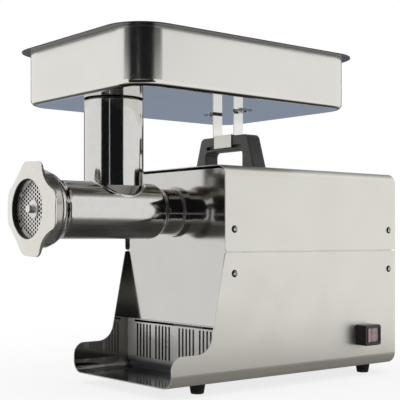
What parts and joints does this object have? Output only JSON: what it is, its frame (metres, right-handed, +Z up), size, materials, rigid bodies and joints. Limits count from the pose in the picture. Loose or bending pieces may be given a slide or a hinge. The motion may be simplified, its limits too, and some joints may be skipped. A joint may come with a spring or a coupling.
{
  "type": "electric meat grinder",
  "caption": "Free-standing electric meat grinder with a folded steel body, front trough, removable grinding head, ring nut, perforated plate, carry handle and a large meat pan on top.",
  "frame": {"origin": "bottom centre of the whole machine, on the surface that its feet stand on", "axes": "+Z up, the head's outlet faces -Y, the side with the switch faces +X"},
  "size_m": [0.2984, 0.567, 0.4586],
  "materials": {
    "satin_stainless_sheet": "brushed along the length",
    "polished_stainless": "polished casting",
    "plate_steel": "ground",
    "screw_steel": "plain",
    "gear_steel": "oiled",
    "laminated_steel": "varnished sheets",
    "cast_aluminium": "as cast",
    "copper_windings": "varnished wire",
    "black_plastic": "fine grain",
    "grey_plastic": "smooth",
    "white_plastic": "smooth",
    "red_plastic": "clear red",
    "black_rubber": "matt"
  },
  "bodies": {
    "housing": {"lower_cover": "satin_stainless_sheet", "upper_cover": "satin_stainless_sheet", "front_panel": "satin_stainless_sheet", "vent_panel": "satin_stainless_sheet", "rear_panel": "satin_stainless_sheet", "cover_screws": "screw_steel", "rubber_feet": "black_rubber", "foot_screws": "screw_steel", "carry_handle": "black_plastic", "handle_screws": "screw_steel", "head_socket": "polished_stainless", "socket_screws": "screw_steel", "gearbox_housing": "cast_aluminium", "gearbox_cover": "cast_aluminium", "gearbox_bolts": "screw_steel", "pedestal_bolts": "screw_steel", "output_bearings": "gear_steel", "pinion_bearings": "gear_steel", "motor_housing": "gear_steel", "motor_screws": "screw_steel", "stator_core": "laminated_steel", "stator_windings": "copper_windings", "motor_end_cap": "cast_aluminium", "end_cap_screws": "screw_steel", "motor_bearings": "gear_steel", "motor_cradle": "screw_steel", "capacitor": "cast_aluminium", "capacitor_clip": "screw_steel", "switch_housing": "black_plastic", "cord_gland": "black_plastic", "circuit_breaker": "black_plastic"},
    "rotor": {"motor_shaft": "gear_steel", "rotor_core": "laminated_steel", "cooling_fan": "grey_plastic"},
    "pinion": {"pinion_shaft": "gear_steel", "intermediate_gear": "gear_steel"},
    "output": {"output_shaft": "gear_steel", "output_gear": "gear_steel"},
    "head": {"grinder_head": "polished_stainless", "grinder_plate": "plate_steel", "plate_pin": "screw_steel"},
    "auger": {"auger": "plate_steel", "auger_stud": "plate_steel", "knife": "plate_steel", "thrust_washer": "white_plastic"},
    "nut": {"ring_nut": "polished_stainless"},
    "pan": {"meat_pan": "satin_stainless_sheet", "pan_bracket": "satin_stainless_sheet", "bracket_rivets": "screw_steel"},
    "lock": {"lock_screw": "screw_steel", "lock_knob": "black_plastic"},
    "rocker": {"switch_rocker": "red_plastic"},
    "button": {"reset_button": "red_plastic"}
  },
  "joints": [
    {"name": "motor_spin", "type": "hinge", "parent": "housing", "child": "rotor", "pos_m": [0, 0.1435, 0.1369], "axis": [0, 1, 0], "continuous": true},
    {"name": "pinion_spin", "type": "hinge", "parent": "housing", "child": "pinion", "pos_m": [0, 0.0235, 0.1834], "axis": [0, 1, 0], "continuous": true},
    {"name": "output_spin", "type": "hinge", "parent": "housing", "child": "output", "pos_m": [0, 0.0235, 0.2394], "axis": [0, 1, 0], "continuous": true},
    {"name": "head_slide", "type": "slide", "parent": "housing", "child": "head", "axis": [0, -1, 0], "range_m": [0, 0.08]},
    {"name": "auger_spin", "type": "hinge", "parent": "head", "child": "auger", "pos_m": [0, -0.1565, 0.2394], "axis": [0, 1, 0], "continuous": true},
    {"name": "nut_turn", "type": "hinge", "parent": "head", "child": "nut", "pos_m": [0, -0.2715, 0.2394], "axis": [0, -1, 0], "range_deg": [0, 720]},
    {"name": "pan_lift", "type": "slide", "parent": "head", "child": "pan", "axis": [0, 0, 1], "range_m": [0, 0.06]},
    {"name": "lock_turn", "type": "hinge", "parent": "housing", "child": "lock", "pos_m": [-0.02895, -0.0515, 0.2394], "axis": [-0.7071, -0.7071, 0], "range_deg": [0, 720]},
    {"name": "rocker_tilt", "type": "hinge", "parent": "housing", "child": "rocker", "pos_m": [0.125, 0.2122, 0.062], "axis": [0, 0, 1], "range_deg": [-14, 0]},
    {"name": "button_press", "type": "slide", "parent": "housing", "child": "button", "axis": [0, -1, 0], "range_m": [0, 0.0025], "stiffness_N_per_m": 800}
  ],
  "couplings": [
    {"joint": "pinion_spin", "follows": "motor_spin", "ratio": -0.24},
    {"joint": "output_spin", "follows": "motor_spin", "ratio": 0.065455},
    {"joint": "auger_spin", "follows": "motor_spin", "ratio": 0.065455}
  ]
}
